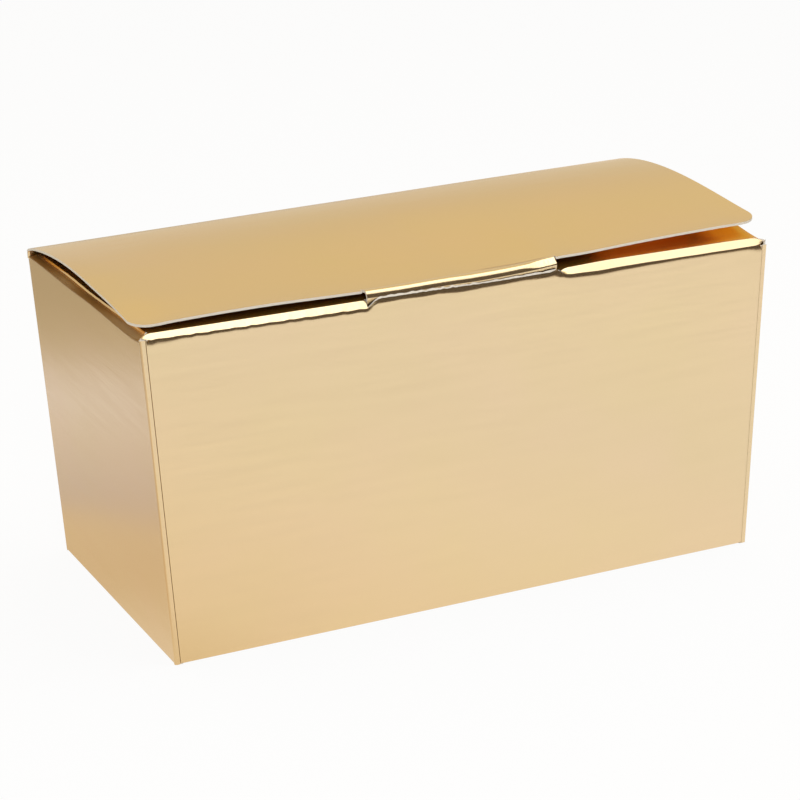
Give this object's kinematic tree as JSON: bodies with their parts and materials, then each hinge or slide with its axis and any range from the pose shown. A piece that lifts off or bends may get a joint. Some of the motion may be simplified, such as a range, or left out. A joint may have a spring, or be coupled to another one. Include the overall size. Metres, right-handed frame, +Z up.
{
  "type": "folding card chocolate box",
  "caption": "Folded and glued card box with outward-leaning walls, inner dust flaps and a bowed hinged lid that closes with a tongue in a slit.",
  "frame": {"origin": "centre of the underside", "axes": "+X towards the right end as seen from the front, +Y towards the lid's hinge at the back, +Z up; the front wall with the slit faces -Y"},
  "size_m": [0.1252, 0.0638, 0.0681],
  "materials": {
    "gold_card": "gloss",
    "dried_glue": "satin"
  },
  "bodies": {
    "root": {"base_panel": "gold_card", "front_wall": "gold_card", "back_wall": "gold_card", "left_wall": "gold_card", "right_wall": "gold_card", "front_left_web_outer": "gold_card", "front_left_web_inner": "gold_card", "front_left_glue_line": "dried_glue", "front_right_web_outer": "gold_card", "front_right_web_inner": "gold_card", "front_right_glue_line": "dried_glue", "back_left_web_outer": "gold_card", "back_left_web_inner": "gold_card", "back_left_glue_line": "dried_glue", "back_right_web_outer": "gold_card", "back_right_web_inner": "gold_card", "back_right_glue_line": "dried_glue"},
    "lid": {"lid_panel": "gold_card"},
    "tongue": {"lid_tongue": "gold_card"},
    "front_flap": {"front_flap": "gold_card"},
    "left_flap": {"left_flap": "gold_card"},
    "right_flap": {"right_flap": "gold_card"}
  },
  "joints": [
    {"name": "lid_hinge", "type": "hinge", "parent": "root", "child": "lid", "pos_m": [0, 0.03189, 0.06145], "axis": [-1, 0, 0], "range_deg": [0, 180]},
    {"name": "tongue_crease", "type": "hinge", "parent": "lid", "child": "tongue", "pos_m": [0, -0.02918, 0.06214], "axis": [-1, 0, 0], "range_deg": [0, 45]},
    {"name": "front_flap_crease", "type": "hinge", "parent": "root", "child": "front_flap", "pos_m": [0, -0.03157, 0.06059], "axis": [1, 0, 0], "range_deg": [0, 99]},
    {"name": "left_flap_crease", "type": "hinge", "parent": "root", "child": "left_flap", "pos_m": [-0.06231, 0, 0.06017], "axis": [0, -1, 0], "range_deg": [0, 90]},
    {"name": "right_flap_crease", "type": "hinge", "parent": "root", "child": "right_flap", "pos_m": [0.06231, 0, 0.06017], "axis": [0, 1, 0], "range_deg": [0, 90]}
  ],
  "couplings": [
    {"joint": "tongue_crease", "follows": "lid_hinge", "ratio": 0.25},
    {"joint": "front_flap_crease", "follows": "lid_hinge", "ratio": 0.55},
    {"joint": "left_flap_crease", "follows": "lid_hinge", "ratio": 0.5},
    {"joint": "right_flap_crease", "follows": "lid_hinge", "ratio": 0.5}
  ]
}
